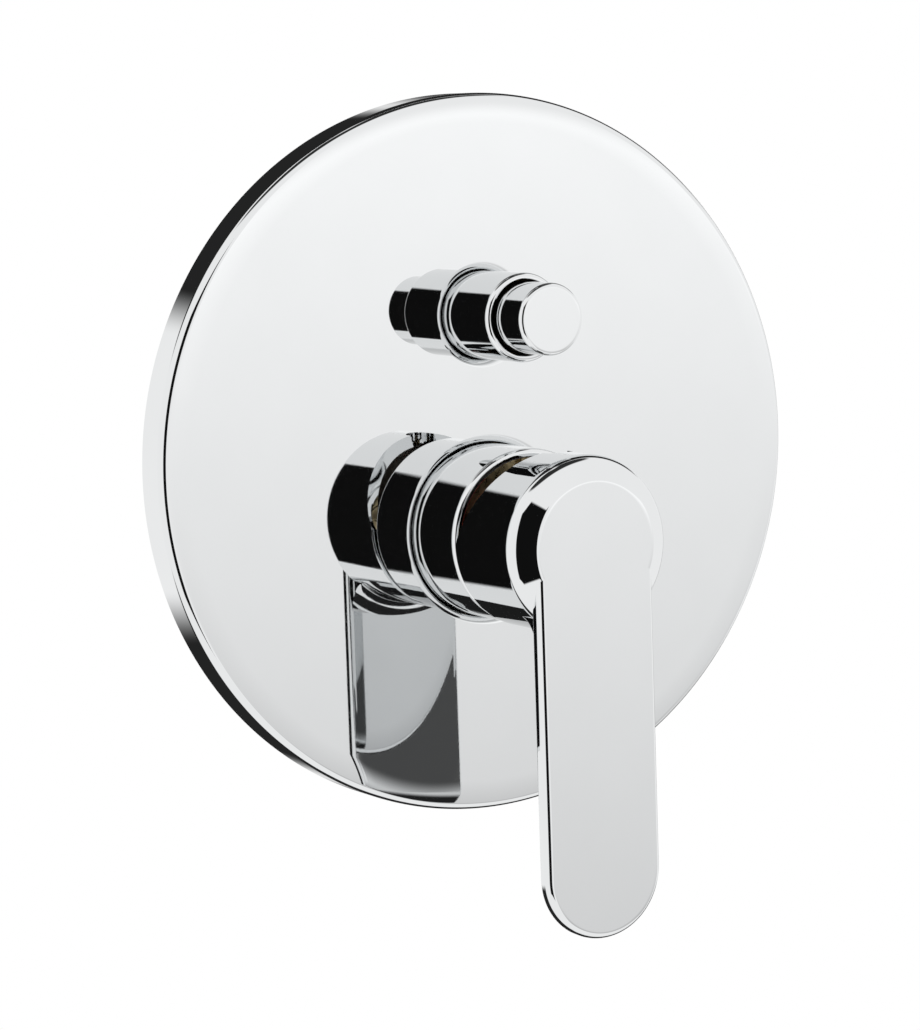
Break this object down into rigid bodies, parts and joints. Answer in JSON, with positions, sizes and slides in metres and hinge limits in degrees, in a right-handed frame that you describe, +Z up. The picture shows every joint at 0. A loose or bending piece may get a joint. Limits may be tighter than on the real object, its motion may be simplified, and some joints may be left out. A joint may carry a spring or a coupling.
{
  "type": "concealed shower mixer",
  "caption": "Concealed single-lever shower mixer: round chromed cover plate, sleeve, paddle lever, pull diverter, and the brass body with its ceramic cartridge behind the wall.",
  "frame": {"origin": "centre of the four wall-fixing holes, on the rear face of the fixing straps and on the axis of the round cover plate", "axes": "+Y into the wall, -Y towards the user, +Z up, +X to the user's right"},
  "size_m": [0.18, 0.1207, 0.2045],
  "materials": {
    "chrome": "polished chrome plating on brass",
    "cast_brass": "sand-cast brass, machined at the ports",
    "turned_brass": "turned brass",
    "steel": "drawn stainless steel",
    "white_plastic": "moulded acetal",
    "grey_plastic": "moulded glass-filled plastic",
    "red_plastic": "moulded plastic",
    "ceramic": "lapped alumina",
    "rubber": "nitrile rubber",
    "foam": "closed-cell foam"
  },
  "bodies": {
    "fixture": {"valve_body": "cast_brass", "cartridge_base": "white_plastic", "base_seals": "rubber", "disc_seals": "rubber", "fixed_disc": "ceramic", "cartridge_housing": "white_plastic", "limit_ring": "red_plastic", "cartridge_nut": "turned_brass", "sleeve_seal": "rubber", "sleeve": "chrome", "sleeve_washer": "rubber", "face_plate": "chrome", "plate_gasket": "foam", "diverter_bonnet": "turned_brass", "bonnet_seal": "rubber", "stem_seal": "rubber", "diverter_spring": "steel", "diverter_collar": "chrome", "collar_washer": "rubber"},
    "turret": {"turret": "grey_plastic", "pivot_pin": "steel"},
    "lever": {"lever": "chrome", "spindle": "steel", "lever_screw": "steel"},
    "disc_unit": {"disc_carrier": "grey_plastic", "moving_disc": "ceramic"},
    "diverter": {"diverter_knob": "chrome", "diverter_stem": "steel", "diverter_plunger": "turned_brass", "plunger_washers": "rubber"}
  },
  "joints": [
    {"name": "lever_turn", "type": "hinge", "parent": "fixture", "child": "turret", "pos_m": [0, -0.0835, -0.019], "axis": [0, -1, 0], "range_deg": [-50, 50]},
    {"name": "lever_lift", "type": "hinge", "parent": "turret", "child": "lever", "pos_m": [0, -0.0835, -0.019], "axis": [-1, 0, 0], "range_deg": [0, 24]},
    {"name": "disc_slide", "type": "slide", "parent": "turret", "child": "disc_unit", "axis": [0, 0, -1], "range_m": [0, 0.0037]},
    {"name": "diverter_pull", "type": "slide", "parent": "fixture", "child": "diverter", "axis": [0, -1, 0], "range_m": [0, 0.008], "stiffness_N_per_m": 500, "springref_m": -0.01, "deforming": ["diverter_spring"]}
  ],
  "couplings": [
    {"joint": "disc_slide", "follows": "lever_lift", "m_per_rad": 0.008739}
  ]
}
